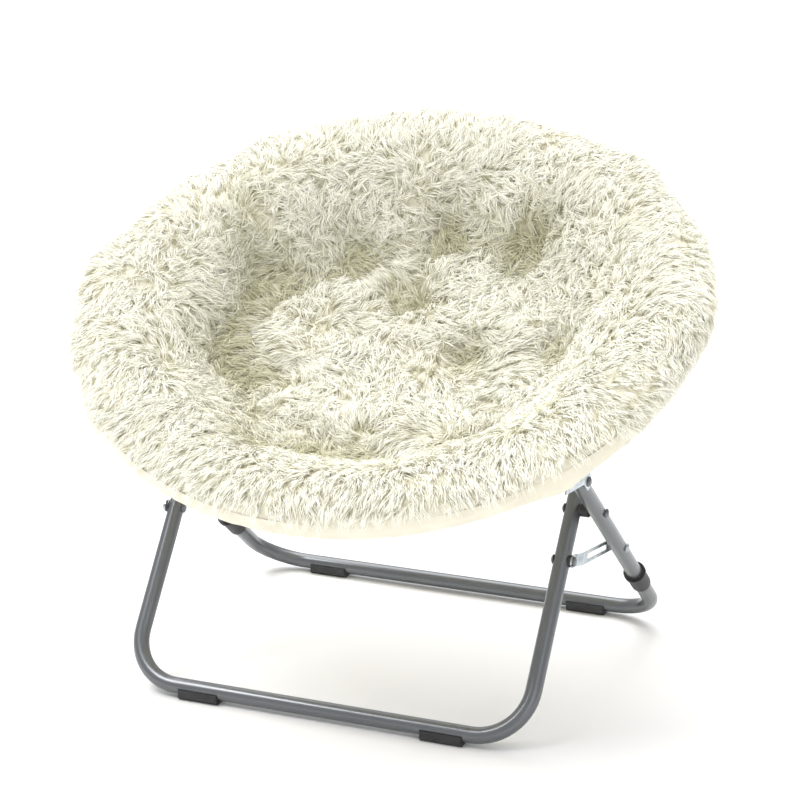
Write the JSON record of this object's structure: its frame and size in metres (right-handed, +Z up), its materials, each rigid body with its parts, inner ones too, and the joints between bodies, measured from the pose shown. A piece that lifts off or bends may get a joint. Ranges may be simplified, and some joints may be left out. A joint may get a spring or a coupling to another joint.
{
  "type": "folding saucer chair",
  "caption": "Round padded saucer seat on a hinged tube ring, carried by two crossed folding U-shaped tube legs with lock links.",
  "frame": {"origin": "on the floor, midway between the front and rear rims of the seat, on the chair's mirror plane", "axes": "+Z up, -Y towards the front of the chair, +X towards the viewer's right when facing the chair"},
  "size_m": [0.7606, 0.5894, 0.619],
  "materials": {
    "grey_paint": "satin gunmetal grey paint",
    "zinc": "bright zinc plate",
    "rivet_steel": "dull steel",
    "black_plastic": "moulded black",
    "fur": "long ivory pile",
    "cover_fabric": "plain woven cream cloth"
  },
  "bodies": {
    "front_frame": {"front_leg_tube": "grey_paint", "rear_half_ring": "grey_paint", "front_leg_stop_rivets": "rivet_steel", "leg_top_rivets": "zinc", "rear_leaf_rivets": "zinc", "leg_pivot_rivet_left": "rivet_steel", "leg_pivot_rivet_right": "rivet_steel", "leg_pivot_spacer_left": "black_plastic", "leg_pivot_spacer_right": "black_plastic", "link_washer_left": "black_plastic", "link_washer_right": "black_plastic", "link_rivet_left": "zinc", "link_rivet_right": "zinc", "front_leg_cap_left": "black_plastic", "front_leg_cap_right": "black_plastic", "leg_top_bracket_left": "zinc", "leg_top_bracket_right": "zinc", "front_foot_left": "black_plastic", "front_foot_right": "black_plastic", "rear_hinge_leaf_left": "zinc", "rear_hinge_leaf_right": "zinc", "ring_hinge_pin_left": "zinc", "ring_hinge_pin_right": "zinc", "seat_cover_rear": "cover_fabric", "seat_cushion_rear": "fur"},
    "rear_frame": {"rear_leg_tube": "grey_paint", "rear_leg_cap_left": "black_plastic", "rear_leg_cap_right": "black_plastic", "leg_collar_left": "black_plastic", "leg_collar_right": "black_plastic", "rear_foot_left": "black_plastic", "rear_foot_right": "black_plastic", "link_pin_left": "rivet_steel", "link_pin_right": "rivet_steel"},
    "front_half": {"front_half_ring": "grey_paint", "front_leaf_rivets": "zinc", "saddle_rivets": "zinc", "front_hinge_leaf_left": "zinc", "front_hinge_leaf_right": "zinc", "ring_saddle_left": "zinc", "ring_saddle_right": "zinc", "seat_cover_front": "cover_fabric", "seat_cushion_front": "fur"},
    "link_left": {"lock_link_left": "zinc", "slot_button_left": "zinc"},
    "link_right": {"lock_link_right": "zinc", "slot_button_right": "zinc"}
  },
  "joints": [
    {"name": "seat_fold", "type": "hinge", "parent": "front_frame", "child": "front_half", "pos_m": [0, -0.0138, 0.458], "axis": [-1, 0, 0], "range_deg": [0, 170]},
    {"name": "leg_fold", "type": "hinge", "parent": "front_frame", "child": "rear_frame", "pos_m": [0, -0.0377, 0.2316], "axis": [-1, 0, 0], "range_deg": [0, 84]},
    {"name": "link_swing_left", "type": "hinge", "parent": "front_frame", "child": "link_left", "pos_m": [-0.2552, -0.07451, 0.18258], "axis": [-1, 0, 0], "range_deg": [0, 108.4]},
    {"name": "link_swing_right", "type": "hinge", "parent": "front_frame", "child": "link_right", "pos_m": [0.2552, -0.07451, 0.18258], "axis": [-1, 0, 0], "range_deg": [0, 108.4]}
  ],
  "couplings": [
    {"joint": "leg_fold", "follows": "seat_fold", "ratio": 0.49411},
    {"joint": "link_swing_left", "follows": "seat_fold", "ratio": 0.63728},
    {"joint": "link_swing_right", "follows": "seat_fold", "ratio": 0.63728}
  ]
}
